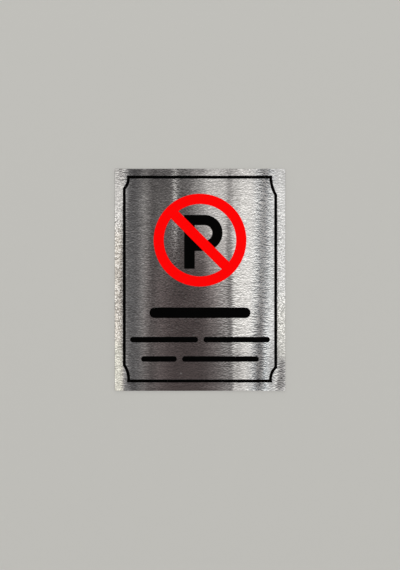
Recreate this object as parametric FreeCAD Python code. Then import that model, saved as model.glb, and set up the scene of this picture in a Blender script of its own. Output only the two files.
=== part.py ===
import FreeCAD, Part
import math
import os

# Parking sign: a brushed steel plate whose no-parking disc, notched border line and bars in the
# place of words are etched recesses filled with enamel. Foam tape on its back holds it to a wall.
# Lengths are in millimetres. X runs to the right as the reader sees it, Y into the wall and Z up.
# The origin is the middle of the centre strip of tape, on its face against the wall.

# Plate
PLATE_WIDTH = 200.0
PLATE_HEIGHT = 260.0
PLATE_THICKNESS = 1.5
PLATE_CORNER_RADIUS = 2.0
PLATE_EDGE_ROUNDING = 0.3

# Etched recesses and the enamel in them, which sets a little below the plate's face
ETCH_DEPTH = 0.25
ENAMEL_SINK = 0.05

# Foam tape: outer strips stand in from the plate's sides, and every strip from its top and bottom
TAPE_WIDTH = 19.0
TAPE_THICKNESS = 1.0
TAPE_SIDE_INSET = 12.0
TAPE_END_INSET = 15.0

# Border line, with insets from the plate's edges to the middle of the line
BORDER_LINE_WIDTH = 3.5
BORDER_SIDE_INSET = 11.4
BORDER_TOP_INSET = 9.9
BORDER_BOTTOM_INSET = 11.6

# Corner notches of the border, each a single arc that bows into the frame
TOP_LEFT_NOTCH_WIDTH = 4.8
TOP_LEFT_NOTCH_HEIGHT = 13.5
TOP_LEFT_NOTCH_BOW = 1.5
TOP_RIGHT_NOTCH_WIDTH = 5.9
TOP_RIGHT_NOTCH_HEIGHT = 21.1
TOP_RIGHT_NOTCH_BOW = 1.25
BOTTOM_LEFT_NOTCH_WIDTH = 5.0
BOTTOM_LEFT_NOTCH_HEIGHT = 18.6
BOTTOM_LEFT_NOTCH_BOW = 1.65
BOTTOM_RIGHT_NOTCH_WIDTH = 6.0
BOTTOM_RIGHT_NOTCH_HEIGHT = 16.0
BOTTOM_RIGHT_NOTCH_BOW = 2.0

# Ring and slash of the no-parking disc
BORDER_TO_RING = 17.65
RING_DIAMETER = 108.7
RING_BAND = 12.0
SLASH_WIDTH = 12.2
SLASH_ANGLE = 45.0

# Letter, placed from the middle of the ring
LETTER_HEIGHT = 63.0
LETTER_WIDTH = 45.0
LETTER_STEM = 12.5
LETTER_BOWL_HEIGHT = 42.2
LETTER_BOWL_STROKE = 12.0
LETTER_LEFT_OF_RING_MIDDLE = 18.6
LETTER_DROP = 1.9

# Heights of the bars that stand in the place of words
HEADING_HEIGHT = 12.4
LINE_HEIGHT = 6.5

# Spaces below the ring, stretched together to fill the height that is left
RING_TO_HEADING = 24.4
HEADING_TO_UPPER_LINE = 22.05
UPPER_TO_LOWER_LINE = 16.2
LOWER_LINE_TO_BORDER = 20.75

# Spaces between the border line and the ends of each row of bars
HEADING_SIDE_SPACE = 27.75
UPPER_LINE_SIDE_SPACE = 5.05
LOWER_LINE_SIDE_SPACE = 17.9

# Bars and gaps along the two lower rows, stretched together to fill their row
UPPER_LINE_FIRST_BAR = 79.7
UPPER_LINE_GAP = 6.3
UPPER_LINE_SECOND_BAR = 77.9
LOWER_LINE_FIRST_BAR = 41.9
LOWER_LINE_GAP = 6.2
LOWER_LINE_SECOND_BAR = 90.1

# Places that follow from the sizes above
PLATE_BACK = -TAPE_THICKNESS
PLATE_FRONT = PLATE_BACK - PLATE_THICKNESS
CLEAR_HALF_WIDTH = PLATE_WIDTH / 2 - BORDER_SIDE_INSET - BORDER_LINE_WIDTH / 2
CLEAR_TOP = PLATE_HEIGHT / 2 - BORDER_TOP_INSET - BORDER_LINE_WIDTH / 2
CLEAR_BOTTOM = -PLATE_HEIGHT / 2 + BORDER_BOTTOM_INSET + BORDER_LINE_WIDTH / 2
RING_RADIUS = RING_DIAMETER / 2
RING_MIDDLE_Z = CLEAR_TOP - BORDER_TO_RING - RING_RADIUS


def point(x, z):
    """A point on the plate's front face."""
    return FreeCAD.Vector(x, PLATE_FRONT, z)


def line(start, end):
    return Part.makeLine(point(*start), point(*end))


def arc(start, middle, end):
    return Part.Arc(point(*start), point(*middle), point(*end)).toShape()


def filled(*wires):
    """A face inside the outer wire, open where an inner wire runs."""
    return Part.makeFace(list(wires), "Part::FaceMakerBullseye")


def disc(radius):
    middle = point(0, RING_MIDDLE_Z)
    circle = Part.makeCircle(radius, middle, FreeCAD.Vector(0, -1, 0))
    return filled(Part.Wire([circle]))


def stretched(sizes, space):
    """The sizes, all scaled by one factor so that together they fill the space."""
    factor = space / sum(sizes)
    return [size * factor for size in sizes]


def notch(corner, width, height, bow, side, end, offset):
    """One notched corner of the border, for the line's middle moved outwards by offset.

    Corner is the middle line's square corner, as distances from the plate's middle. Side is 1 on
    the right and -1 on the left, end is 1 at the top and -1 at the bottom. Returns three points
    of the arc, from the border's upright side to its level side.
    """
    corner_x, corner_z = corner
    chord = math.hypot(width, height)
    radius = chord**2 / (8 * bow) + bow / 2
    outwards_x = height / chord
    outwards_z = width / chord
    centre_x = corner_x - width / 2 + (radius - bow) * outwards_x
    centre_z = corner_z - height / 2 + (radius - bow) * outwards_z
    arc_radius = radius - offset
    upright_x = corner_x + offset
    level_z = corner_z + offset
    upright_z = centre_z - math.sqrt(arc_radius**2 - (upright_x - centre_x) ** 2)
    level_x = centre_x - math.sqrt(arc_radius**2 - (level_z - centre_z) ** 2)
    middle_x = centre_x - arc_radius * outwards_x
    middle_z = centre_z - arc_radius * outwards_z
    points = ((upright_x, upright_z), (middle_x, middle_z), (level_x, level_z))
    return [(side * x, end * z) for x, z in points]


def border_outline(offset):
    """The border's middle line moved outwards by offset, with mitred corners."""
    corner_x = PLATE_WIDTH / 2 - BORDER_SIDE_INSET
    top = (corner_x, PLATE_HEIGHT / 2 - BORDER_TOP_INSET)
    bottom = (corner_x, PLATE_HEIGHT / 2 - BORDER_BOTTOM_INSET)
    top_left = notch(
        top, TOP_LEFT_NOTCH_WIDTH, TOP_LEFT_NOTCH_HEIGHT, TOP_LEFT_NOTCH_BOW, -1, 1, offset
    )
    top_right = notch(
        top, TOP_RIGHT_NOTCH_WIDTH, TOP_RIGHT_NOTCH_HEIGHT, TOP_RIGHT_NOTCH_BOW, 1, 1, offset
    )
    bottom_right = notch(
        bottom, BOTTOM_RIGHT_NOTCH_WIDTH, BOTTOM_RIGHT_NOTCH_HEIGHT, BOTTOM_RIGHT_NOTCH_BOW, 1, -1, offset
    )
    bottom_left = notch(
        bottom, BOTTOM_LEFT_NOTCH_WIDTH, BOTTOM_LEFT_NOTCH_HEIGHT, BOTTOM_LEFT_NOTCH_BOW, -1, -1, offset
    )
    return Part.Wire(
        [
            arc(*top_left),
            line(top_left[2], top_right[2]),
            arc(*reversed(top_right)),
            line(top_right[0], bottom_right[0]),
            arc(*bottom_right),
            line(bottom_right[2], bottom_left[2]),
            arc(*reversed(bottom_left)),
            line(bottom_left[0], top_left[0]),
        ]
    )


def border_face():
    half_line = BORDER_LINE_WIDTH / 2
    return filled(border_outline(half_line), border_outline(-half_line))


def ring_openings():
    """The two half-moons inside the ring, above and below the slash."""
    slash = Part.makePlane(
        RING_DIAMETER,
        SLASH_WIDTH,
        point(-RING_RADIUS, RING_MIDDLE_Z - SLASH_WIDTH / 2),
        FreeCAD.Vector(0, -1, 0),
        FreeCAD.Vector(1, 0, 0),
    )
    slash.rotate(point(0, RING_MIDDLE_Z), FreeCAD.Vector(0, 1, 0), SLASH_ANGLE)
    return disc(RING_RADIUS - RING_BAND).cut(slash)


def ring_and_slash_face():
    return disc(RING_RADIUS).cut(ring_openings())


def letter_face():
    """The letter, which shows only through the openings of the ring."""
    left = -LETTER_LEFT_OF_RING_MIDDLE
    stem_right = left + LETTER_STEM
    outer_radius = LETTER_BOWL_HEIGHT / 2
    bowl_right = left + LETTER_WIDTH
    bowl_start = bowl_right - outer_radius
    inner_right = bowl_right - LETTER_BOWL_STROKE
    top = RING_MIDDLE_Z - LETTER_DROP + LETTER_HEIGHT / 2
    foot = top - LETTER_HEIGHT
    bowl_middle = top - outer_radius
    bowl_bottom = top - LETTER_BOWL_HEIGHT
    inner_top = top - LETTER_BOWL_STROKE
    inner_bottom = bowl_bottom + LETTER_BOWL_STROKE
    outline = Part.Wire(
        [
            line((left, foot), (left, top)),
            line((left, top), (bowl_start, top)),
            arc((bowl_start, top), (bowl_right, bowl_middle), (bowl_start, bowl_bottom)),
            line((bowl_start, bowl_bottom), (stem_right, bowl_bottom)),
            line((stem_right, bowl_bottom), (stem_right, foot)),
            line((stem_right, foot), (left, foot)),
        ]
    )
    counter = Part.Wire(
        [
            line((stem_right, inner_top), (bowl_start, inner_top)),
            arc((bowl_start, inner_top), (inner_right, bowl_middle), (bowl_start, inner_bottom)),
            line((bowl_start, inner_bottom), (stem_right, inner_bottom)),
            line((stem_right, inner_bottom), (stem_right, inner_top)),
        ]
    )
    return filled(outline, counter).common(ring_openings())


def bar_face(left, right, top, height):
    """A level bar with round ends."""
    radius = height / 2
    middle = top - radius
    bottom = top - height
    return filled(
        Part.Wire(
            [
                line((left + radius, top), (right - radius, top)),
                arc((right - radius, top), (right, middle), (right - radius, bottom)),
                line((right - radius, bottom), (left + radius, bottom)),
                arc((left + radius, bottom), (left, middle), (left + radius, top)),
            ]
        )
    )


def row_tops():
    """The upper edges of the heading, the upper line and the lower line."""
    spaces = (RING_TO_HEADING, HEADING_TO_UPPER_LINE, UPPER_TO_LOWER_LINE, LOWER_LINE_TO_BORDER)
    ring_bottom = RING_MIDDLE_Z - RING_RADIUS
    free_height = ring_bottom - CLEAR_BOTTOM - HEADING_HEIGHT - 2 * LINE_HEIGHT
    to_heading, to_upper, to_lower, _ = stretched(spaces, free_height)
    heading_top = ring_bottom - to_heading
    upper_top = heading_top - HEADING_HEIGHT - to_upper
    lower_top = upper_top - LINE_HEIGHT - to_lower
    return heading_top, upper_top, lower_top


def heading_face():
    end = CLEAR_HALF_WIDTH - HEADING_SIDE_SPACE
    return bar_face(-end, end, row_tops()[0], HEADING_HEIGHT)


def two_bars(first, gap, second, side_space, top):
    """Two bars and the gap between them, filling a row."""
    end = CLEAR_HALF_WIDTH - side_space
    first_length, gap_length, _ = stretched((first, gap, second), 2 * end)
    first_right = -end + first_length
    first_bar = bar_face(-end, first_right, top, LINE_HEIGHT)
    second_bar = bar_face(first_right + gap_length, end, top, LINE_HEIGHT)
    return Part.makeCompound([first_bar, second_bar])


def upper_line_face():
    return two_bars(
        UPPER_LINE_FIRST_BAR, UPPER_LINE_GAP, UPPER_LINE_SECOND_BAR, UPPER_LINE_SIDE_SPACE, row_tops()[1]
    )


def lower_line_face():
    return two_bars(
        LOWER_LINE_FIRST_BAR, LOWER_LINE_GAP, LOWER_LINE_SECOND_BAR, LOWER_LINE_SIDE_SPACE, row_tops()[2]
    )


def recess(face):
    """The space that is etched out of the plate behind a printed shape."""
    return face.extrude(FreeCAD.Vector(0, ETCH_DEPTH, 0))


def enamel(face):
    """The enamel that fills the same recess from its floor up to just below the plate's face."""
    fill = face.extrude(FreeCAD.Vector(0, ETCH_DEPTH - ENAMEL_SINK, 0))
    fill.translate(FreeCAD.Vector(0, ENAMEL_SINK, 0))
    return fill


def outline_edges(solid, y):
    """The edges that lie wholly in the plane at this depth."""
    return [edge for edge in solid.Edges if all(abs(vertex.Y - y) < 1e-6 for vertex in edge.Vertexes)]


def sign_plate(faces):
    """The steel plate with a recess for each of the printed faces."""
    corner = FreeCAD.Vector(-PLATE_WIDTH / 2, PLATE_FRONT, -PLATE_HEIGHT / 2)
    blank = Part.makeBox(PLATE_WIDTH, PLATE_THICKNESS, PLATE_HEIGHT, corner)
    rims = outline_edges(blank, PLATE_FRONT) + outline_edges(blank, PLATE_BACK)
    uprights = [edge for edge in blank.Edges if not any(edge.isSame(rim) for rim in rims)]
    rounded = blank.makeFillet(PLATE_CORNER_RADIUS, uprights)
    rims = outline_edges(rounded, PLATE_FRONT) + outline_edges(rounded, PLATE_BACK)
    eased = rounded.makeFillet(PLATE_EDGE_ROUNDING, rims)
    return eased.cut([recess(face) for face in faces])


def tape(middle_x):
    """A strip of foam tape between the wall and the plate's back."""
    length = PLATE_HEIGHT - 2 * TAPE_END_INSET
    corner = FreeCAD.Vector(middle_x - TAPE_WIDTH / 2, PLATE_BACK, -length / 2)
    return Part.makeBox(TAPE_WIDTH, TAPE_THICKNESS, length, corner)


def build():
    printed = {
        "border_line": border_face(),
        "ring_and_slash": ring_and_slash_face(),
        "letter_p": letter_face(),
        "heading_bar": heading_face(),
        "upper_line_bars": upper_line_face(),
        "lower_line_bars": lower_line_face(),
    }
    outer_tape_x = PLATE_WIDTH / 2 - TAPE_SIDE_INSET - TAPE_WIDTH / 2
    nodes = {"sign_plate": sign_plate(printed.values())}
    for name, face in printed.items():
        nodes[name] = enamel(face)
    nodes["mounting_tape_left"] = tape(-outer_tape_x)
    nodes["mounting_tape_centre"] = tape(0)
    nodes["mounting_tape_right"] = tape(outer_tape_x)
    return nodes


os.makedirs("parts", exist_ok=True)
for name, shape in build().items():
    shape.exportStep(f"parts/{name}.step")
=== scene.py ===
import math
from typing import NamedTuple

import bpy
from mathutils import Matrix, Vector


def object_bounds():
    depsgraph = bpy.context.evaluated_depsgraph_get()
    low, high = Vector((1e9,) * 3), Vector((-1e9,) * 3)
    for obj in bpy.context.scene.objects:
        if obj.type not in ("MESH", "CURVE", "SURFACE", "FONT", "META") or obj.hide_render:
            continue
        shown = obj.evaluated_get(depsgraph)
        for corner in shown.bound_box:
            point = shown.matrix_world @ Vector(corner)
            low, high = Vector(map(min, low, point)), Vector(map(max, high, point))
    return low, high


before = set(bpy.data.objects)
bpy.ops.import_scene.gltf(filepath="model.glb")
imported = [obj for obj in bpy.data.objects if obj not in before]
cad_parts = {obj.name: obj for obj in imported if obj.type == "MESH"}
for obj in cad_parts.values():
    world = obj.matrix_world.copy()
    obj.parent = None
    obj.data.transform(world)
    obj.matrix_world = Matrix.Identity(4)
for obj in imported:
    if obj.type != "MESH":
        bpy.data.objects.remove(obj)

# Looks of the parking sign: a brushed steel plate with enamel in its etched recesses, and foam
# tape on its back. The stage, the lamps and the camera's place are in metres. The finishes are in
# millimetres on the sign, with x to the right and z up from the plate's middle. Brightness is in
# stops, and a tone of 0 is white.

MM_PER_M = 1000.0
cad_low, cad_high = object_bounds()

PLATE = "sign_plate"
BLACK_ENAMEL_NODES = ("border_line", "letter_p", "heading_bar", "upper_line_bars", "lower_line_bars")
RED_ENAMEL_NODES = ("ring_and_slash",)
TAPE_NODES = ("mounting_tape_left", "mounting_tape_centre", "mounting_tape_right")


class Span(NamedTuple):
    """Where a smooth rise starts and ends, and how high it goes. It may run either way."""
    start: float
    end: float
    height: float = 1.0


class Hump(NamedTuple):
    """A smooth crest of height 1."""
    middle: float
    half_width: float


class Marks(NamedTuple):
    """Marks left by a brush or a roll. The seed keeps two kinds from repeating each other."""
    length: float
    height: float
    detail: float = 0.0
    seed: float = 0.0


class Ripple(NamedTuple):
    """An upright ripple of the rolled sheet, which moves across by its drift for each millimetre up.

    It comes in from the start to the end of one span of heights and goes out over another. Without
    a span it doesn't come in or go out on the plate.
    """
    middle: float
    half_width: float
    stops: float
    comes: Span | None = None
    goes: Span | None = None
    drift: float = 0.0


# Camera, square in front of the face, with lens and sensor in millimetres
LENS = 85.0
SENSOR = 36.0
PICTURE_HEIGHT = 0.667
CAMERA_HEIGHT = -0.0061
UPRIGHT = math.radians(90.0)

# Wall and floor
WALL_COLOUR = (0.537, 0.531, 0.502)
WALL_GLOW = 0.7
WALL_LEVEL = 0.967
WALL_ROUGHNESS = 0.9
WALL_WIDTH = 2.4
WALL_TOP = 1.2
WALL_GAP = 0.0002
FLOOR_COLOUR = (0.62, 0.61, 0.59)
FLOOR_ROUGHNESS = 0.8
FLOOR_SHINE = 0.1
FLOOR_SIZE = 6.0
FLOOR_DROP = 0.45

# Studio light
SKY_COLOUR = (1.0, 1.0, 1.0)
SKY_STRENGTH = 0.95
KEY_POWER = 14.0
KEY_SIZE = 1.2
KEY_PLACE = (-0.35, -1.7, 1.9)
REAR_POWER = 6.0
REAR_SIZE = 1.2
REAR_PLACE = (0.4, 1.7, 1.5)

# What the steel mirrors, by the angle from straight ahead to the right, in degrees
DARK_TONE = -4.2
DARK_END = -13.0
BRIGHT_START = 11.0
BRIGHT_RISE = 4.6
LEFT_RISE = Span(-24.0, -50.0, 3.1)
SIDE_FALL = Span(25.0, 75.0, -1.5)
DARK_TINT = (1.06, 0.97, 0.96)
BRIGHT_TINT = (1.02, 1.0, 0.955)

# Colours that the steel gives back. Plum, cool, warm and cream are painted reflection tints of the mirrored
# bands
STEEL_COLOUR = (0.625, 0.620, 0.618)
PLUM_REFLECTION_TINT = (0.705, 0.612, 0.608)
COOL_REFLECTION_TINT = (0.578, 0.620, 0.662)
WARM_REFLECTION_TINT = (0.653, 0.620, 0.578)
CREAM_REFLECTION_TINT = (0.630, 0.625, 0.572)
BACK_STEEL = (0.600, 0.600, 0.592)
EDGE_STEEL = (0.560, 0.555, 0.545)

# Enamel and tape
BLACK_COLOUR = (0.0004, 0.0004, 0.0004)
RED_COLOUR = (1.0, 0.0, 0.0)
FOAM_COLOUR = (0.74, 0.73, 0.69)
GLUE_COLOUR = (0.70, 0.69, 0.64)

# Kinds of sockets, and the numbers of the sockets that Blender's mixing nodes give no name of their own
NUMBER = "NodeSocketFloat"
VECTOR = "NodeSocketVector"
COLOUR = "NodeSocketColor"
FACTOR, FIRST_NUMBER, SECOND_NUMBER, FIRST_COLOUR, SECOND_COLOUR = 0, 2, 3, 6, 7
MIXED_NUMBER, MIXED_COLOUR = 0, 2
FIRST_SHADER, SECOND_SHADER = 1, 2

# How much brighter one stop is, the value about which Blender's noise lies, and its usual detail
STOP = 2.0
NOISE_MIDDLE = 0.5
SOFT_DETAIL = 2.0

# The normal's Y at which a surface starts to belong to the front or to the back, and does so fully
TURNED_FORWARD = Span(-0.90, -0.99)
TURNED_BACKWARD = Span(0.90, 0.99)


def node(tree, kind, values=None, **settings):
    """A new node. Each of the values is a number, a colour or another node's output."""
    made = tree.nodes.new(kind)
    for name, value in settings.items():
        setattr(made, name, value)
    for socket, value in (values or {}).items():
        if isinstance(value, bpy.types.NodeSocket):
            tree.links.new(value, made.inputs[socket])
        else:
            made.inputs[socket].default_value = value
    return made


def maths(tree, operation, *values):
    """The result of one Math node."""
    return node(tree, "ShaderNodeMath", dict(enumerate(values)), operation=operation).outputs[0]


def vector_maths(tree, operation, *vectors, **others):
    """The result of one Vector Math node."""
    values = {**dict(enumerate(vectors)), **others}
    return node(tree, "ShaderNodeVectorMath", values, operation=operation).outputs[0]


def separate(tree, vector):
    """A vector's x, y and z."""
    return node(tree, "ShaderNodeSeparateXYZ", {"Vector": vector}).outputs


def total(tree, *values):
    """The sum of several outputs."""
    result = values[0]
    for value in values[1:]:
        result = maths(tree, "ADD", result, value)
    return result


def product(tree, *values):
    """Several outputs multiplied together."""
    result = values[0]
    for value in values[1:]:
        result = maths(tree, "MULTIPLY", result, value)
    return result


def weighted(tree, shares, weights):
    """The sum of several shares, each times its own weight."""
    return total(tree, *(product(tree, share, weight) for share, weight in zip(shares, weights)))


def rise(tree, value, span):
    """0 up to the span's start, then a smooth rise to the span's height at its end."""
    ends = {"From Min": span.start, "From Max": span.end, "To Min": 0.0, "To Max": span.height}
    made = node(tree, "ShaderNodeMapRange", {"Value": value, **ends}, interpolation_type="SMOOTHSTEP")
    return made.outputs["Result"]


def crest(tree, value, hump):
    """1 at the hump's middle, falling smoothly to nothing on both sides."""
    share = maths(tree, "DIVIDE", maths(tree, "SUBTRACT", value, hump.middle), hump.half_width)
    return maths(tree, "EXPONENT", product(tree, share, share, -1.0))


def colour_mix(tree, factor, first, second):
    values = {FACTOR: factor, FIRST_COLOUR: first, SECOND_COLOUR: second}
    return node(tree, "ShaderNodeMix", values, data_type="RGBA").outputs[MIXED_COLOUR]


def number_mix(tree, factor, first, second):
    values = {FACTOR: factor, FIRST_NUMBER: first, SECOND_NUMBER: second}
    return node(tree, "ShaderNodeMix", values).outputs[MIXED_NUMBER]


def soft_noise(tree, vector, scale=1.0, detail=SOFT_DETAIL):
    """Blender's plain noise."""
    values = {"Vector": vector, "Scale": scale, "Detail": detail}
    return node(tree, "ShaderNodeTexNoise", values).outputs[0]


def opaque(colour):
    """A colour as Blender's sockets take it."""
    return (*colour, 1.0)


def new_material(name):
    """An emptied material and its shader, joined to the output."""
    material = bpy.data.materials.new(name)
    material.use_nodes = True
    tree = material.node_tree
    tree.nodes.clear()
    shader = tree.nodes.new("ShaderNodeBsdfPrincipled")
    output = tree.nodes.new("ShaderNodeOutputMaterial")
    tree.links.new(shader.outputs["BSDF"], output.inputs["Surface"])
    return material, tree, shader


def place_mm(tree):
    """The place on the object in millimetres, whole and as separate x, y and z."""
    coordinates = node(tree, "ShaderNodeTexCoord").outputs["Object"]
    scaled = vector_maths(tree, "SCALE", coordinates, Scale=MM_PER_M)
    return scaled, separate(tree, scaled)


def mapped(tree, vector, scale, place=(0.0, 0.0, 0.0)):
    """A vector scaled along each axis, then moved."""
    values = {"Vector": vector, "Location": place, "Scale": scale}
    return node(tree, "ShaderNodeMapping", values).outputs[0]


def bumped(tree, height):
    """The normal of a surface that has this height in millimetres."""
    return node(tree, "ShaderNodeBump", {"Height": height, "Distance": 1 / MM_PER_M}).outputs[0]


def streaks(tree, vector, marks):
    """Noise about zero whose marks are drawn out along the brushing."""
    drawn_out = mapped(
        tree,
        vector,
        place=(marks.seed, marks.seed, marks.seed),
        scale=(1 / marks.length, 1.0, 1 / marks.height),
    )
    return maths(tree, "SUBTRACT", soft_noise(tree, drawn_out, detail=marks.detail), NOISE_MIDDLE)


def new_group(name, inputs, outputs):
    """An empty node group, with what it is given and the results that it hands on."""
    group = bpy.data.node_groups.new(name, "ShaderNodeTree")
    for way, sockets in (("INPUT", inputs), ("OUTPUT", outputs)):
        for label, kind in sockets.items():
            group.interface.new_socket(name=label, in_out=way, socket_type=kind)
    given = group.nodes.new("NodeGroupInput").outputs
    return group, given, group.nodes.new("NodeGroupOutput").inputs


def placed(tree, group, **values):
    """The outputs of a node group that is placed with these values."""
    return node(tree, "ShaderNodeGroup", values, node_tree=group).outputs


def uneven_surface_group():
    """Slow unevenness of a poured or rolled surface: a mottle about zero and a height in millimetres."""
    inputs = {"Vector": VECTOR, "Size": NUMBER, "Depth": NUMBER}
    group, given, results = new_group("uneven_surface", inputs, {"Mottle": NUMBER, "Height": NUMBER})
    scale = maths(group, "DIVIDE", 1.0, given["Size"])
    mottle = maths(group, "SUBTRACT", soft_noise(group, given["Vector"], scale), NOISE_MIDDLE)
    group.links.new(mottle, results["Mottle"])
    group.links.new(product(group, mottle, given["Depth"]), results["Height"])
    return group


def shade_group():
    """A colour made brighter, or darker, by a number of stops."""
    inputs = {"Colour": COLOUR, "Stops": NUMBER}
    group, given, results = new_group("shade_by_stops", inputs, {"Colour": COLOUR})
    factor = maths(group, "POWER", STOP, given["Stops"])
    group.links.new(vector_maths(group, "SCALE", given["Colour"], Scale=factor), results["Colour"])
    return group


def facing_group():
    """How fully a surface belongs to the front or to the back, going by its normal."""
    group, given, results = new_group("facing", {"Normal": VECTOR}, {"Front": NUMBER, "Back": NUMBER})
    _, backward, _ = separate(group, given["Normal"])
    group.links.new(rise(group, backward, TURNED_FORWARD), results["Front"])
    group.links.new(rise(group, backward, TURNED_BACKWARD), results["Back"])
    return group


UNEVEN_SURFACE = uneven_surface_group()
SHADE = shade_group()
FACING = facing_group()


def background(tree, colour, strength):
    return node(tree, "ShaderNodeBackground", {"Color": colour, "Strength": strength}).outputs[0]


def shader_mix(tree, factor, first, second):
    values = {FACTOR: factor, FIRST_SHADER: first, SECOND_SHADER: second}
    return node(tree, "ShaderNodeMixShader", values).outputs["Shader"]


def build_world():
    """White light for matt surfaces, and a studio from dark to bright for what mirrors it."""
    world = bpy.data.worlds.new("studio")
    bpy.context.scene.world = world
    world.use_nodes = True
    world.cycles.sampling_method = "NONE"
    tree = world.node_tree
    tree.nodes.clear()
    direction = node(tree, "ShaderNodeTexCoord").outputs["Generated"]
    x, y, _ = separate(tree, direction)
    angle = maths(tree, "DEGREES", maths(tree, "ARCTAN2", x, product(tree, y, -1.0)))
    ends = {"From Min": DARK_END, "From Max": BRIGHT_START}
    bright_share = node(tree, "ShaderNodeMapRange", {"Value": angle, **ends}).outputs["Result"]
    left_rise = rise(tree, angle, LEFT_RISE)
    outer = maths(tree, "ADD", left_rise, rise(tree, angle, SIDE_FALL))
    tone = maths(tree, "ADD", maths(tree, "MULTIPLY_ADD", bright_share, BRIGHT_RISE, outer), DARK_TONE)
    lit_share = maths(tree, "MULTIPLY_ADD", left_rise, 1 / LEFT_RISE.height, bright_share)
    tint = colour_mix(tree, lit_share, opaque(DARK_TINT), opaque(BRIGHT_TINT))
    mirrored = background(tree, tint, maths(tree, "POWER", STOP, tone))
    plain = background(tree, opaque(SKY_COLOUR), SKY_STRENGTH)
    rays = node(tree, "ShaderNodeLightPath").outputs
    lit = shader_mix(tree, rays["Is Glossy Ray"], plain, mirrored)
    shown = shader_mix(tree, rays["Is Camera Ray"], lit, background(tree, opaque(WALL_COLOUR), 1.0))
    tree.links.new(shown, tree.nodes.new("ShaderNodeOutputWorld").inputs["Surface"])


def wall_material():
    """Paint that shows only from the front, and lets the light through to the sign's back."""
    material, tree, shader = new_material("pale_wall")
    surface = shader.outputs["BSDF"].links[0].to_socket
    shader.inputs["Base Color"].default_value = opaque([part * (1.0 - WALL_GLOW) for part in WALL_COLOUR])
    shader.inputs["Emission Color"].default_value = opaque(WALL_COLOUR)
    shader.inputs["Emission Strength"].default_value = WALL_GLOW * WALL_LEVEL
    shader.inputs["Roughness"].default_value = WALL_ROUGHNESS
    shader.inputs["Specular IOR Level"].default_value = 0.0
    clear = node(tree, "ShaderNodeBsdfTransparent").outputs[0]
    rays = node(tree, "ShaderNodeLightPath").outputs
    behind = node(tree, "ShaderNodeNewGeometry").outputs["Backfacing"]
    shown = product(tree, maths(tree, "SUBTRACT", 1.0, behind), rays["Is Camera Ray"])
    tree.links.new(shader_mix(tree, shown, clear, shader.outputs["BSDF"]), surface)
    return material


def floor_material():
    """Matt pale floor below the wall."""
    material, _, shader = new_material("pale_floor")
    shader.inputs["Base Color"].default_value = opaque(FLOOR_COLOUR)
    shader.inputs["Roughness"].default_value = FLOOR_ROUGHNESS
    shader.inputs["Specular IOR Level"].default_value = FLOOR_SHINE
    return material


def flat_sheet(name, corners, material):
    """One flat face of the stage."""
    mesh = bpy.data.meshes.new(name)
    mesh.from_pydata(corners, [], [tuple(range(len(corners)))])
    mesh.materials.append(material)
    sheet = bpy.data.objects.new(name, mesh)
    bpy.context.scene.collection.objects.link(sheet)
    return sheet


def build_stage():
    """The wall behind the sign and the floor, which the steel doesn't mirror."""
    ends = ((-1, -1), (1, -1), (1, 1), (-1, 1))
    wall = [(across * WALL_WIDTH / 2, WALL_GAP, WALL_TOP if up > 0 else -FLOOR_DROP) for across, up in ends]
    flat_sheet("wall", wall, wall_material())
    ground = [(across * FLOOR_SIZE / 2, deep * FLOOR_SIZE / 2, -FLOOR_DROP) for across, deep in ends]
    floor = flat_sheet("floor", ground, floor_material())
    floor.visible_glossy = False


def soft_light(name, place, size, power):
    """A large lamp, turned to the sign, that the steel doesn't mirror."""
    light = bpy.data.lights.new(name, "AREA")
    light.shape = "SQUARE"
    light.size = size
    light.energy = power
    lamp = bpy.data.objects.new(name, light)
    bpy.context.scene.collection.objects.link(lamp)
    lamp.location = place
    lamp.rotation_euler = (-lamp.location).to_track_quat("-Z", "Y").to_euler()
    lamp.visible_glossy = False


def build_camera():
    """A camera that takes in the height of the picture at the face."""
    camera = bpy.data.cameras.new("front_camera")
    camera.lens = LENS
    camera.sensor_width = SENSOR
    camera.sensor_fit = "AUTO"
    seen = bpy.data.objects.new("front_camera", camera)
    bpy.context.scene.collection.objects.link(seen)
    distance = PICTURE_HEIGHT * LENS / SENSOR
    seen.location = (0.0, cad_low.y - distance, CAMERA_HEIGHT)
    seen.rotation_euler = (UPRIGHT, 0.0, 0.0)
    bpy.context.scene.camera = seen


# Ripples of the rolled sheet, listed from left to right. At its middle a ripple brightens the steel,
# or darkens it, by its stops. Those on a strip are only at the top or at the foot of the plate.
TOP_STRIP = Span(118.0, 126.0)
BOTTOM_STRIP = Span(-110.0, -122.0)
RIGHT_RIPPLE_DRIFT = 0.026

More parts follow.
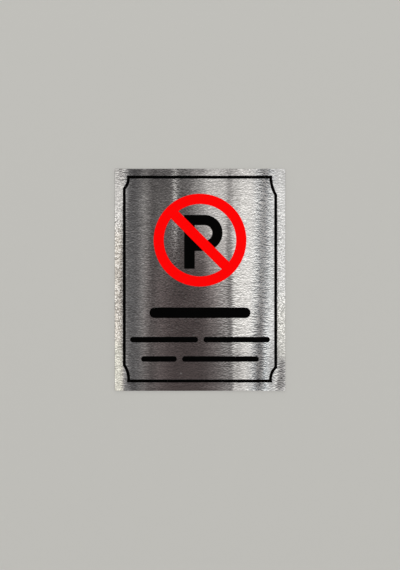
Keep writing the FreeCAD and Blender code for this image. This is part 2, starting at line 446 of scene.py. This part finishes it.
LEFT_FIELD_RIPPLES = (
    Ripple(middle=-93.3, half_width=1.4, stops=-0.55, comes=TOP_STRIP),
    Ripple(middle=-89.0, half_width=1.4, stops=0.45, comes=TOP_STRIP),
    Ripple(middle=-87.0, half_width=3.0, stops=-0.60, comes=BOTTOM_STRIP),
    Ripple(middle=-85.8, half_width=2.5, stops=-0.30, comes=TOP_STRIP),
    Ripple(middle=-85.5, half_width=2.5, stops=0.30, comes=Span(45.0, 10.0)),
    Ripple(middle=-81.5, half_width=3.5, stops=-0.20, comes=Span(65.0, 85.0), goes=Span(98.0, 108.0)),
    Ripple(middle=-76.0, half_width=4.5, stops=-0.40, comes=BOTTOM_STRIP),
    Ripple(middle=-72.5, half_width=3.0, stops=-0.20, comes=Span(-62.0, -78.0), goes=Span(-92.0, -102.0)),
    Ripple(middle=-69.5, half_width=3.0, stops=-0.40, comes=TOP_STRIP),
    Ripple(middle=-66.0, half_width=6.0, stops=0.36, drift=0.012),
    Ripple(middle=-66.0, half_width=6.0, stops=0.40, comes=Span(-115.0, -60.0)),
    Ripple(middle=-62.0, half_width=2.8, stops=0.22, comes=Span(-30.0, 20.0)),
    Ripple(middle=-58.5, half_width=6.5, stops=-0.35, comes=Span(-45.0, -80.0)),
    Ripple(middle=-56.0, half_width=6.0, stops=-0.28, comes=Span(85.0, 55.0), goes=Span(-45.0, -65.0)),
    Ripple(middle=-55.0, half_width=5.0, stops=0.20, comes=BOTTOM_STRIP),
    Ripple(middle=-54.5, half_width=4.5, stops=-0.25),
)
DARK_FIELD_RIPPLES = (
    Ripple(middle=-50.0, half_width=13.0, stops=0.25, comes=Span(108.0, 124.0)),
    Ripple(middle=-45.0, half_width=10.0, stops=-0.12, comes=Span(10.0, 25.0), goes=Span(60.0, 75.0)),
    Ripple(middle=-38.0, half_width=8.0, stops=0.22, comes=Span(116.0, 126.0)),
    Ripple(middle=-30.0, half_width=6.0, stops=0.15, comes=Span(106.0, 124.0)),
    Ripple(middle=-29.4, half_width=2.9, stops=1.95, comes=Span(-10.0, 90.0)),
    Ripple(middle=-21.0, half_width=6.0, stops=0.24, comes=Span(98.0, 112.0)),
    Ripple(middle=-21.0, half_width=6.5, stops=-0.40, comes=Span(115.0, 75.0), goes=Span(-10.0, -30.0)),
    Ripple(middle=-16.0, half_width=15.0, stops=-0.30, comes=Span(-35.0, -60.0), goes=Span(-90.0, -110.0)),
    Ripple(middle=-14.0, half_width=8.0, stops=0.40, comes=Span(106.0, 124.0)),
    Ripple(middle=-6.5, half_width=4.0, stops=0.33, comes=Span(92.0, 110.0)),
    Ripple(middle=3.0, half_width=4.0, stops=-0.35, comes=Span(50.0, 30.0), goes=Span(8.0, -6.0)),
    Ripple(middle=3.5, half_width=3.5, stops=-0.40, comes=TOP_STRIP),
    Ripple(middle=10.0, half_width=6.0, stops=0.20, comes=Span(-114.0, -124.0)),
    Ripple(middle=18.5, half_width=4.0, stops=0.20, comes=TOP_STRIP),
    Ripple(
        middle=20.8, half_width=10.5, stops=-0.38,
        comes=Span(130.0, 80.0), goes=Span(35.0, 12.0), drift=-0.2,
    ),
    Ripple(middle=21.0, half_width=7.0, stops=-0.22, comes=Span(5.0, -15.0), goes=Span(-55.0, -75.0)),
    Ripple(middle=25.0, half_width=7.0, stops=-0.20, comes=Span(-35.0, -55.0)),
)
BRIGHT_FIELD_RIPPLES = (
    Ripple(middle=34.0, half_width=4.2, stops=-0.70, comes=Span(-60.0, 60.0)),
    Ripple(
        middle=34.6, half_width=2.3, stops=-0.70,
        comes=Span(115.0, 60.0), goes=Span(-50.0, -115.0), drift=-0.010,
    ),
    Ripple(middle=37.5, half_width=3.5, stops=-0.30, comes=Span(60.0, 85.0), goes=TOP_STRIP),
    Ripple(middle=38.6, half_width=1.8, stops=0.40, comes=Span(-52.0, -72.0), goes=Span(-88.0, -100.0)),
    Ripple(middle=42.5, half_width=5.0, stops=-0.45, comes=Span(-66.0, -86.0), goes=Span(-114.0, -130.0)),
    Ripple(middle=43.5, half_width=4.5, stops=-0.15),
    Ripple(middle=43.5, half_width=4.5, stops=-0.30, comes=Span(45.0, 75.0)),
    Ripple(middle=45.5, half_width=4.5, stops=-0.22, comes=Span(-25.0, -60.0)),
    Ripple(middle=47.0, half_width=3.0, stops=0.28, comes=TOP_STRIP),
    Ripple(middle=57.0, half_width=6.0, stops=0.12, comes=Span(60.0, 30.0), goes=Span(-80.0, -95.0)),
)
RIGHT_RIPPLES = (
    Ripple(middle=67.5, half_width=3.8, stops=-0.52, comes=Span(-15.0, -75.0)),
    Ripple(middle=67.5, half_width=4.0, stops=0.30, comes=BOTTOM_STRIP),
    Ripple(middle=71.0, half_width=4.0, stops=-0.40, comes=Span(0.0, -45.0), goes=Span(-62.0, -80.0)),
    Ripple(middle=72.6, half_width=5.8, stops=-1.85, drift=RIGHT_RIPPLE_DRIFT),
    Ripple(middle=77.0, half_width=3.4, stops=0.50, comes=Span(-45.0, -80.0)),
    Ripple(middle=77.5, half_width=3.0, stops=0.30, comes=Span(-30.0, -60.0), goes=Span(-85.0, -100.0)),
    Ripple(middle=83.0, half_width=3.0, stops=-0.55, comes=Span(-65.0, -100.0)),
    Ripple(middle=89.0, half_width=2.4, stops=-1.0, comes=Span(98.0, 78.0), goes=Span(-90.0, -105.0)),
)
RIPPLES = LEFT_FIELD_RIPPLES + DARK_FIELD_RIPPLES + BRIGHT_FIELD_RIPPLES + RIGHT_RIPPLES


def ripple_stops(tree, x, z, ripple):
    """What one ripple adds to the tone."""
    if ripple.drift:
        x = maths(tree, "MULTIPLY_ADD", z, -ripple.drift, x)
    stops = product(tree, crest(tree, x, Hump(ripple.middle, ripple.half_width)), ripple.stops)
    if ripple.comes:
        stops = product(tree, stops, rise(tree, z, ripple.comes))
    if ripple.goes:
        stops = product(tree, stops, rise(tree, z, Span(ripple.goes.end, ripple.goes.start)))
    return stops


# Left rim
RIM = Span(-80.0, -95.0, 2.8)
RIM_WAISTS = (Hump(-8.0, 75.0), Hump(-78.0, 14.0))
RIM_NARROWING = (3.8, 1.4)
RIM_WIDENING = Span(55.0, 128.0, -2.8)


def left_rim(tree, x, z):
    """The bright edge on the left, narrower at its two waists and wider at the top corner."""
    narrower = weighted(tree, [crest(tree, z, waist) for waist in RIM_WAISTS], RIM_NARROWING)
    return rise(tree, total(tree, x, narrower, rise(tree, z, RIM_WIDENING)), RIM)


# Dark field and the slope beside it
DARK_FIELD_ACROSS = Span(-58.0, -26.0)
DARK_FIELD_DOWN = Span(75.0, -35.0, -0.95)
SLOPE_MIDDLE_ABOVE = Span(80.0, 0.0, 14.0)
SLOPE_MIDDLE_BELOW = Span(0.0, -90.0, 5.0)
SLOPE_ACROSS = Span(-21.0, 13.0)
SLOPE_STOPS = 2.4
SLOPE_LOSS = Span(-20.0, -110.0, -0.75)
STEP_ACROSS = Span(35.5, 41.5)
STEP_STOPS = 0.4


def dark_and_bright_fields(tree, x, z):
    """The dark field, the slope out of it, and a last step, after which every height is as bright."""
    shade = rise(tree, z, DARK_FIELD_DOWN)
    loss = rise(tree, z, SLOPE_LOSS)
    dark = product(tree, rise(tree, x, DARK_FIELD_ACROSS), shade)
    middle = total(tree, rise(tree, z, SLOPE_MIDDLE_ABOVE), rise(tree, z, SLOPE_MIDDLE_BELOW))
    off = maths(tree, "SUBTRACT", x, middle)
    slope = product(tree, rise(tree, off, SLOPE_ACROSS), maths(tree, "ADD", loss, SLOPE_STOPS))
    step_stops = maths(tree, "SUBTRACT", STEP_STOPS, maths(tree, "ADD", shade, loss))
    return [dark, slope, product(tree, rise(tree, x, STEP_ACROSS), step_stops)]


# Ends of the plate
LOW_CORNER_LEAN = Span(-108.0, -128.0, 3.0)
LOW_CORNER_ACROSS = Span(90.0, 95.0)
LOW_CORNER_DOWN = Span(-86.0, -100.0, -1.5)
LOW_CORNER_EDGE = Span(96.0, 99.0, 0.6)
TOP_STOPS = -0.35
TOP_UP = Span(90.0, 128.0)
TOP_LEFT_FROM_MIDDLE = Span(-34.0, -44.0)
TOP_LEFT_FROM_RIM = Span(-90.0, -82.0, -0.12)
TOP_LINE_ACROSS = Hump(-92.0, 2.4)
TOP_LINE_UP = Span(112.0, 122.0, -0.55)
LOW_RIM_ACROSS = Span(-86.0, -92.0)
LOW_RIM_DOWN = Span(-40.0, -75.0, 0.05)
FOOT_ACROSS = Span(36.0, 46.0)
FOOT_DOWN = Span(-55.0, -90.0, -0.35)
FOOT_EDGE = Span(-124.0, -129.5, 0.45)


def end_shades(tree, x, z):
    """What dulls or brightens the ends of the plate.

    These are the dark lower right corner, the duller top, a dark line in its left corner, the slightly
    brighter low end of the left rim, and the bright field's foot, duller but for its very edge.
    """
    leant = maths(tree, "ADD", x, rise(tree, z, LOW_CORNER_LEAN))
    edge = maths(tree, "SUBTRACT", 1.0, rise(tree, x, LOW_CORNER_EDGE))
    corner = product(tree, rise(tree, leant, LOW_CORNER_ACROSS), rise(tree, z, LOW_CORNER_DOWN), edge)
    duller_left = product(tree, rise(tree, x, TOP_LEFT_FROM_MIDDLE), rise(tree, x, TOP_LEFT_FROM_RIM))
    top = product(tree, maths(tree, "ADD", duller_left, TOP_STOPS), rise(tree, z, TOP_UP))
    top_line = product(tree, crest(tree, x, TOP_LINE_ACROSS), rise(tree, z, TOP_LINE_UP))
    low_rim = product(tree, rise(tree, x, LOW_RIM_ACROSS), rise(tree, z, LOW_RIM_DOWN))
    duller_foot = maths(tree, "ADD", rise(tree, z, FOOT_DOWN), rise(tree, z, FOOT_EDGE))
    foot = product(tree, rise(tree, x, FOOT_ACROSS), duller_foot)
    return [corner, top, top_line, low_rim, foot]


LEFT_FIELD_TONE = -3.4


def sheet_tone_group():
    """The tone that the rippled sheet shows at each place when it is seen square."""
    tree, given, results = new_group("sheet_tone", {"X": NUMBER, "Z": NUMBER}, {"Tone": NUMBER})
    x, z = given["X"], given["Z"]
    parts = [ripple_stops(tree, x, z, ripple) for ripple in RIPPLES]
    parts.append(left_rim(tree, x, z))
    parts.extend(dark_and_bright_fields(tree, x, z))
    parts.extend(end_shades(tree, x, z))
    tree.links.new(maths(tree, "ADD", total(tree, *parts), LEFT_FIELD_TONE), results["Tone"])
    return tree


SHEET_TONE = sheet_tone_group()

# Marks on the front of the plate
FINE_MARKS = Marks(2.0, 0.8)
PLAIN_MARKS = Marks(1.7, 0.8, seed=67.0)
LONG_MARKS = Marks(14.0, 1.0, detail=1.0, seed=7.0)
ROLL_MARKS = Marks(3.5, 90.0, detail=1.0, seed=83.0)
ROW_MARKS = Marks(8.0, 0.8, seed=19.0)
SHIFT_MARKS = Marks(1.6, 0.8, seed=53.0)
DOT_MARKS = Marks(1.5, 0.8, seed=31.0)
DASH_MARKS = Marks(2.8, 0.8, seed=61.0)
SPECK_MARKS = Marks(1.15, 1.15, seed=101.0)
GRAIN_STEP = 1.15


def grain_step(tree, vector, marks):
    """Brush marks less the same marks a step higher up, which leaves no broad blotches."""
    higher = vector_maths(tree, "ADD", vector, (0.0, 0.0, GRAIN_STEP))
    return maths(tree, "SUBTRACT", streaks(tree, vector, marks), streaks(tree, higher, marks))


# Where the sheet bends sharply: the right ripple, the left one and the top left corner, in this order
SHARP_RIGHT = Hump(71.5, 9.0)
SHARP_LEFT = Hump(-29.0, 5.5)
SHARP_LEFT_UP = Span(0.0, 50.0)
SHARP_CORNER = Hump(-91.0, 6.0)
SHARP_CORNER_UP = Span(108.0, 122.0)
# Painted glint strength of the brush dots at each sharp place, then how much each place frays the mirrored
# bands
PAINTED_DOT_GLINT_STOPS = (4.8, 4.0, 5.0)
FRAYING = (1.0, 0.2, 0.8)
FRAY_ALL = 0.3
ROW_SHIFT = 18.0
DOT_SHIFT = 8.0


def along_right_ripple(tree, x, z):
    """The place across the plate, counted so that the right ripple, which leans, stands upright."""
    return maths(tree, "MULTIPLY_ADD", z, -RIGHT_RIPPLE_DRIFT, x)


def sharp_shares(tree, x, z):
    """How near a place is to the right ripple, to the left one and to the top left corner."""
    right = crest(tree, along_right_ripple(tree, x, z), SHARP_RIGHT)
    left = product(tree, crest(tree, x, SHARP_LEFT), rise(tree, z, SHARP_LEFT_UP))
    corner = product(tree, crest(tree, x, SHARP_CORNER), rise(tree, z, SHARP_CORNER_UP))
    return right, left, corner


def fray_shift(tree, vector, sharp):
    """How far across the brush lines pull the ripples, row by row and dot by dot."""
    rows = product(tree, grain_step(tree, vector, ROW_MARKS), ROW_SHIFT)
    dots = product(tree, grain_step(tree, vector, SHIFT_MARKS), DOT_SHIFT)
    frays = maths(tree, "ADD", weighted(tree, sharp, FRAYING), FRAY_ALL)
    return product(tree, maths(tree, "ADD", rows, dots), frays)


# Rims, where the grain is round specks more than fine marks, laid on the mirrored bright bands as painted
# sparkle
LEFT_RIM_ACROSS = Span(-86.0, -90.0)
RIGHT_RIM_ACROSS = Span(86.0, 90.0)
RIGHT_RIM_ABOVE = 0.5
RIGHT_RIM_DOWN = Span(20.0, -40.0, 0.35)
SPECK_STOPS = 3.4
RIPPLE_SPECKS = 1.7
SPECKS_ABOVE_FOOT = Span(-90.0, -50.0, 0.5)
SPECKS_BELOW_TOP = Span(100.0, 65.0, 0.7)


def rim_share(tree, x, z):
    """1 on the left rim, and somewhat less on the right one, most of all above."""
    right_share = maths(tree, "ADD", rise(tree, z, RIGHT_RIM_DOWN), RIGHT_RIM_ABOVE)
    right = product(tree, rise(tree, x, RIGHT_RIM_ACROSS), right_share)
    return maths(tree, "ADD", rise(tree, x, LEFT_RIM_ACROSS), right)


def speck_and_painted_sparkle_stops(tree, vector, rims, sharp, z):
    """Round speck grain at the rims and at the left ripple, fainter near the top and the foot: grain and
    painted sparkle.
    """
    _, left_ripple, _ = sharp
    specks = product(tree, streaks(tree, vector, SPECK_MARKS), SPECK_STOPS)
    share = maths(tree, "MULTIPLY_ADD", left_ripple, RIPPLE_SPECKS, rims)
    foot = maths(tree, "ADD", rise(tree, z, SPECKS_ABOVE_FOOT), 1.0 - SPECKS_ABOVE_FOOT.height)
    top = maths(tree, "ADD", rise(tree, z, SPECKS_BELOW_TOP), 1.0 - SPECKS_BELOW_TOP.height)
    return product(tree, specks, share, foot, top)


# Strength of the fine marks, and the tones between which the sheet comes to count as bright
BRIGHT_TONES = Span(-3.2, -1.2)
FINE_SHARE = 0.75
PLAIN_SHARE = 0.8
FINE_DARK = 1.7
FINE_BRIGHT = -0.4
FINE_RIM = -0.5
CALM_ACROSS = Hump(-18.0, 46.0)
CALM_DOWN = Span(-38.0, -112.0, -0.5)


def fine_stops(tree, vector, bright, rims, x, z):
    """The fine brush marks: calmer on bright steel, at the rims and at the low end of the dark field."""
    fine = product(tree, grain_step(tree, vector, FINE_MARKS), FINE_SHARE)
    fine = maths(tree, "MULTIPLY_ADD", streaks(tree, vector, PLAIN_MARKS), PLAIN_SHARE, fine)
    by_tone = maths(tree, "MULTIPLY_ADD", bright, FINE_BRIGHT, FINE_DARK)
    by_rim = maths(tree, "MULTIPLY_ADD", rims, FINE_RIM, 1.0)
    calm = product(tree, crest(tree, x, CALM_ACROSS), rise(tree, z, CALM_DOWN))
    return product(tree, fine, by_tone, by_rim, maths(tree, "ADD", calm, 1.0))


# Painted glints on brush dashes: in the lower right corner, where the slope ends and on bright steel, in
# this order
CORNER_DASHES_ACROSS = Span(85.0, 90.0)
CORNER_DASHES_DOWN = Span(-90.0, -104.0)
SLOPE_DASHES_ACROSS = Hump(33.0, 12.0)
SLOPE_DASHES_DOWN = Span(30.0, -10.0)
SLOPE_DASHES_END = Span(-124.0, -100.0)
PAINTED_DASH_GLINT_STOPS = (4.4, 3.6, 0.75)


def painted_glint_stops(tree, vector, bright, sharp, x, z):
    """Brush dots and dashes, strong where the mirrored tone bends sharply or is bright: grain and painted
    glints.
    """
    dots = product(tree, grain_step(tree, vector, DOT_MARKS), weighted(tree, sharp, PAINTED_DOT_GLINT_STOPS))
    corner = product(tree, rise(tree, x, CORNER_DASHES_ACROSS), rise(tree, z, CORNER_DASHES_DOWN))
    slope = product(
        tree,
        crest(tree, x, SLOPE_DASHES_ACROSS),
        rise(tree, z, SLOPE_DASHES_DOWN),
        rise(tree, z, SLOPE_DASHES_END),
    )
    dashes = weighted(tree, (corner, slope, bright), PAINTED_DASH_GLINT_STOPS)
    return maths(tree, "MULTIPLY_ADD", grain_step(tree, vector, DASH_MARKS), dashes, dots)


# Places of the painted reflection tints, which follow the mirrored fields, bands and rims
PLUM_FROM_LEFT = Span(-78.0, -36.0)
PLUM_FROM_RIGHT = Span(42.0, -10.0)
PLUM_DOWN = Span(90.0, -20.0)
COOL_LEFT = Span(-62.0, -78.0, 0.4)
COOL_RIGHT = Span(58.0, 72.0, 0.3)
COOL_RIPPLE = Hump(72.5, 9.0)
COOL_RIPPLE_SHARE = 0.6
COOL_RIPPLE_DOWN = Span(-60.0, -110.0, 0.5)
COOL_INSIDE_RIM = Span(-91.0, -85.0)
TINTED_RIM = Span(-88.0, -93.0)
WARM_DOWN = Span(75.0, 45.0)
CREAM_DOWN = Span(-60.0, -85.0)
CREAM_RIGHT = Span(86.0, 92.0)
CREAM_RIGHT_DOWN = Span(0.0, -45.0, 0.4)
CREAM_RIGHT_END = Span(-104.0, -84.0)


def steel_colour_with_painted_tints(tree, x, z):
    """The steel's base colour, with faint painted reflection tints laid where the mirrored fields and bands
    are.

    It is plum in the dark field, cool beside it and in the right ripple, warm to cream down the left
    rim, and cream low on the right.
    """
    dark_field = product(tree, rise(tree, x, PLUM_FROM_LEFT), rise(tree, x, PLUM_FROM_RIGHT))
    plum = product(tree, dark_field, rise(tree, z, PLUM_DOWN))
    sides = maths(tree, "ADD", rise(tree, x, COOL_LEFT), rise(tree, x, COOL_RIGHT))
    cool_ripple = crest(tree, along_right_ripple(tree, x, z), COOL_RIPPLE)
    ripple_share = maths(tree, "ADD", rise(tree, z, COOL_RIPPLE_DOWN), COOL_RIPPLE_SHARE)
    cool = maths(tree, "MULTIPLY_ADD", cool_ripple, ripple_share, sides)
    cool = product(tree, cool, rise(tree, x, COOL_INSIDE_RIM))
    rim = rise(tree, x, TINTED_RIM)
    warm = product(tree, rim, rise(tree, z, WARM_DOWN))
    low_right = product(tree, rise(tree, x, CREAM_RIGHT), rise(tree, z, CREAM_RIGHT_DOWN))
    low_right = product(tree, low_right, rise(tree, z, CREAM_RIGHT_END))
    cream = maths(tree, "MULTIPLY_ADD", rim, rise(tree, z, CREAM_DOWN), low_right)
    # Painted reflection: each tint is mixed in where a mirrored field, band or rim lies
    colour = opaque(STEEL_COLOUR)
    tints = ((plum, PLUM_REFLECTION_TINT), (cool, COOL_REFLECTION_TINT), (warm, WARM_REFLECTION_TINT), (cream, CREAM_REFLECTION_TINT))
    for share, tint in tints:
        colour = colour_mix(tree, share, colour, opaque(tint))
    return colour


# How the front turns its stops into lean. A mirrored ray turns twice as far as the steel leans, the
# steel is level at the level tone, and the bow allows for the slant at which both sides are seen.
GREEN = 1
MIRROR_TURN = 2.0
STUDIO_TURN = BRIGHT_START - DARK_END
LEAN_PER_STOP = STUDIO_TURN / (MIRROR_TURN * BRIGHT_RISE)
TONE_AHEAD = DARK_TONE - BRIGHT_RISE * DARK_END / STUDIO_TURN
LEVEL_TONE = TONE_AHEAD + math.log2(STEEL_COLOUR[GREEN])
BOW = -0.0067

# Roll lines, the nick, and the shares of fine marks, long marks, fraying and nick in colour and in lean
ROLL_STOPS = 0.4
NICK_ACROSS = Hump(-22.3, 0.9)
NICK_UP = Hump(-109.6, 0.9)
# In colour, the fraying's share is painted reflection: the ragged edges of the mirrored bands
COLOUR_SHARES = (1.0, 0.42, 0.85, 1.0)
LEAN_SHARES = (0.3, 0.7, 0.15, 1.5)

# Roughness of the front, with a faint haze
FRONT_ROUGHNESS = 0.28
HAZE_SIZE = 45.0
HAZE_ROUGHNESS = Span(0.5, 0.75, 0.03)


def brushed_front(tree, vector, x, z):
    """The brushed face: its colour, its lean in degrees and its roughness."""
    sharp = sharp_shares(tree, x, z)
    rims = rim_share(tree, x, z)
    tone = placed(tree, SHEET_TONE, X=x, Z=z)["Tone"]
    frayed_x = maths(tree, "ADD", x, fray_shift(tree, vector, sharp))
    frayed = placed(tree, SHEET_TONE, X=frayed_x, Z=z)["Tone"]
    bright = rise(tree, tone, BRIGHT_TONES)
    shared = (
        fine_stops(tree, vector, bright, rims, x, z),
        streaks(tree, vector, LONG_MARKS),
        maths(tree, "SUBTRACT", frayed, tone),
        product(tree, crest(tree, x, NICK_ACROSS), crest(tree, z, NICK_UP)),
    )
    specks = speck_and_painted_sparkle_stops(tree, vector, rims, sharp, z)
    painted_glints = painted_glint_stops(tree, vector, bright, sharp, x, z)
    # The colour carries the grain and the nick, and as painted reflection the frayed band edges, glints and
    # sparkle
    grain_and_painted_reflection_stops = total(tree, weighted(tree, shared, COLOUR_SHARES), specks, painted_glints)
    colour = placed(tree, SHADE, Colour=steel_colour_with_painted_tints(tree, x, z), Stops=grain_and_painted_reflection_stops)["Colour"]
    roll_lines = product(tree, streaks(tree, vector, ROLL_MARKS), ROLL_STOPS)
    level = maths(tree, "MULTIPLY_ADD", x, BOW, -LEVEL_TONE)
    lean_stops = total(tree, tone, weighted(tree, shared, LEAN_SHARES), roll_lines, level)
    haze = rise(tree, soft_noise(tree, vector, 1 / HAZE_SIZE), HAZE_ROUGHNESS)
    roughness = maths(tree, "ADD", haze, FRONT_ROUGHNESS)
    return colour, product(tree, lean_stops, LEAN_PER_STOP), roughness


# Back of the plate
MILL_MARKS = Marks(60.0, 2.5, detail=3.0, seed=41.0)
MILL_STOPS = 0.7
BACK_BENDS = Marks(70.0, 110.0, detail=1.0, seed=47.0)
BACK_LEAN = 6.0
MOTTLE_SIZE = 0.9
MOTTLE_STOPS = 0.35
MOTTLE_ROUGHNESS = 0.10
BACK_ROUGHNESS = 0.42


def mill_back(tree, vector):
    """The unbrushed back: grey mill finish with faint roll marks, and not quite flat."""
    mottle = placed(tree, UNEVEN_SURFACE, Vector=vector, Size=MOTTLE_SIZE)["Mottle"]
    marks = product(tree, streaks(tree, vector, MILL_MARKS), MILL_STOPS)
    stops = maths(tree, "MULTIPLY_ADD", mottle, MOTTLE_STOPS, marks)
    colour = placed(tree, SHADE, Colour=opaque(BACK_STEEL), Stops=stops)["Colour"]
    lean = product(tree, streaks(tree, vector, BACK_BENDS), BACK_LEAN)
    return colour, lean, maths(tree, "MULTIPLY_ADD", mottle, MOTTLE_ROUGHNESS, BACK_ROUGHNESS)


# Sheared edges, whose marks run through the thickness of the sheet
SHEAR_SCALE = (2.2, 0.35, 2.2)
SHEAR_STOPS = 2.0
EDGE_ROUGHNESS = 0.5


def sheared_edge(tree, vector):
    """The colour of the plate's cut edges."""
    marks = soft_noise(tree, mapped(tree, vector, SHEAR_SCALE))
    stops = maths(tree, "MULTIPLY_ADD", marks, SHEAR_STOPS, -NOISE_MIDDLE * SHEAR_STOPS)
    return placed(tree, SHADE, Colour=opaque(EDGE_STEEL), Stops=stops)["Colour"]


# How far the brushing draws out what the steel mirrors, and its turn about the normal
BRUSHING = 1.0
BRUSHING_TURN = 0.25


def steel_material():
    """Stainless sheet: brushed from side to side in front, mill finish behind, sheared edges between."""
    material, tree, shader = new_material("brushed_steel")
    vector, (x, _, z) = place_mm(tree)
    normal = node(tree, "ShaderNodeNewGeometry").outputs["Normal"]
    facing = placed(tree, FACING, Normal=normal)
    front, back = facing["Front"], facing["Back"]
    front_colour, front_lean, front_roughness = brushed_front(tree, vector, x, z)
    back_colour, back_lean, back_roughness = mill_back(tree, vector)
    colour = colour_mix(tree, front, sheared_edge(tree, vector), front_colour)
    tree.links.new(colour_mix(tree, back, colour, back_colour), shader.inputs["Base Color"])
    roughness = number_mix(tree, front, EDGE_ROUGHNESS, front_roughness)
    tree.links.new(number_mix(tree, back, roughness, back_roughness), shader.inputs["Roughness"])
    lean = weighted(tree, (back_lean, front_lean), (back, front))
    slope = maths(tree, "TANGENT", maths(tree, "RADIANS", lean))
    sideways = node(tree, "ShaderNodeCombineXYZ", {"X": slope}).outputs[0]
    leant = vector_maths(tree, "NORMALIZE", vector_maths(tree, "ADD", normal, sideways))
    tree.links.new(leant, shader.inputs["Normal"])
    shader.inputs["Metallic"].default_value = 1.0
    shader.inputs["Anisotropic"].default_value = BRUSHING
    shader.inputs["Anisotropic Rotation"].default_value = BRUSHING_TURN
    tangent = node(tree, "ShaderNodeTangent", direction_type="RADIAL", axis="Z").outputs[0]
    tree.links.new(tangent, shader.inputs["Tangent"])
    return material


# Enamel
PEEL_SIZE = 1.6
PEEL_DEPTH = 0.03
PEEL_STOPS = 0.12
PEEL_ROUGHNESS = 0.12
ENAMEL_ROUGHNESS = 0.38
ENAMEL_SHINE = 0.03


def enamel_material(name, colour):
    """Baked enamel, smooth but for the slight orange peel of its flow."""
    material, tree, shader = new_material(name)
    vector, _ = place_mm(tree)
    peel = placed(tree, UNEVEN_SURFACE, Vector=vector, Size=PEEL_SIZE, Depth=PEEL_DEPTH)
    stops = product(tree, peel["Mottle"], PEEL_STOPS)
    shaded = placed(tree, SHADE, Colour=opaque(colour), Stops=stops)["Colour"]
    tree.links.new(shaded, shader.inputs["Base Color"])
    roughness = maths(tree, "MULTIPLY_ADD", peel["Mottle"], PEEL_ROUGHNESS, ENAMEL_ROUGHNESS)
    tree.links.new(roughness, shader.inputs["Roughness"])
    tree.links.new(bumped(tree, peel["Height"]), shader.inputs["Normal"])
    shader.inputs["Specular IOR Level"].default_value = ENAMEL_SHINE
    return material


# Foam tape
CELL_SIZE = 0.35
CELL_DEPTH = 0.08
CELL_HOLLOW_SHADE_STOPS = 0.9
CELL_SHADE = -0.55
CUT_ROUGHNESS = 0.9
FILM_WAVE_SIZE = 5.0
FILM_WAVE_DEPTH = 0.05
FILM_STOPS = 0.5
FILM_ROUGHNESS = 0.45


def tape_material():
    """White foam with open cells at its cut sides, darkened in their hollows by painted shade, and a smooth
    film of glue on its face.
    """
    material, tree, shader = new_material("foam_tape")
    vector, _ = place_mm(tree)
    normal = node(tree, "ShaderNodeNewGeometry").outputs["Normal"]
    glued = placed(tree, FACING, Normal=normal)["Back"]
    cell_values = {"Vector": vector, "Scale": 1 / CELL_SIZE}
    cells = node(tree, "ShaderNodeTexVoronoi", cell_values).outputs["Distance"]
    waves = placed(tree, UNEVEN_SURFACE, Vector=vector, Size=FILM_WAVE_SIZE, Depth=FILM_WAVE_DEPTH)
    # The cut foam is darker where its cells sink, as painted shade in their hollows
    painted_cell_shade_stops = maths(tree, "MULTIPLY_ADD", cells, CELL_HOLLOW_SHADE_STOPS, CELL_SHADE)
    film_stops = product(tree, waves["Mottle"], FILM_STOPS)
    cut = placed(tree, SHADE, Colour=opaque(FOAM_COLOUR), Stops=painted_cell_shade_stops)["Colour"]
    film = placed(tree, SHADE, Colour=opaque(GLUE_COLOUR), Stops=film_stops)["Colour"]
    tree.links.new(colour_mix(tree, glued, cut, film), shader.inputs["Base Color"])
    tree.links.new(number_mix(tree, glued, CUT_ROUGHNESS, FILM_ROUGHNESS), shader.inputs["Roughness"])
    cell_depth = maths(tree, "MULTIPLY_ADD", glued, -CELL_DEPTH, CELL_DEPTH)
    height = maths(tree, "ADD", product(tree, cells, cell_depth), waves["Height"])
    tree.links.new(bumped(tree, height), shader.inputs["Normal"])
    return material


def dress(names, material):
    """Give the named pieces this material and no other."""
    for name in names:
        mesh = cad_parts[name].data
        mesh.materials.clear()
        mesh.materials.append(material)


build_world()
build_stage()
soft_light("key_light", KEY_PLACE, KEY_SIZE, KEY_POWER)
soft_light("rear_light", REAR_PLACE, REAR_SIZE, REAR_POWER)
build_camera()
bpy.context.scene.view_settings.view_transform = "Standard"
dress([PLATE], steel_material())
dress(BLACK_ENAMEL_NODES, enamel_material("black_enamel", BLACK_COLOUR))
dress(RED_ENAMEL_NODES, enamel_material("red_enamel", RED_COLOUR))
dress(TAPE_NODES, tape_material())
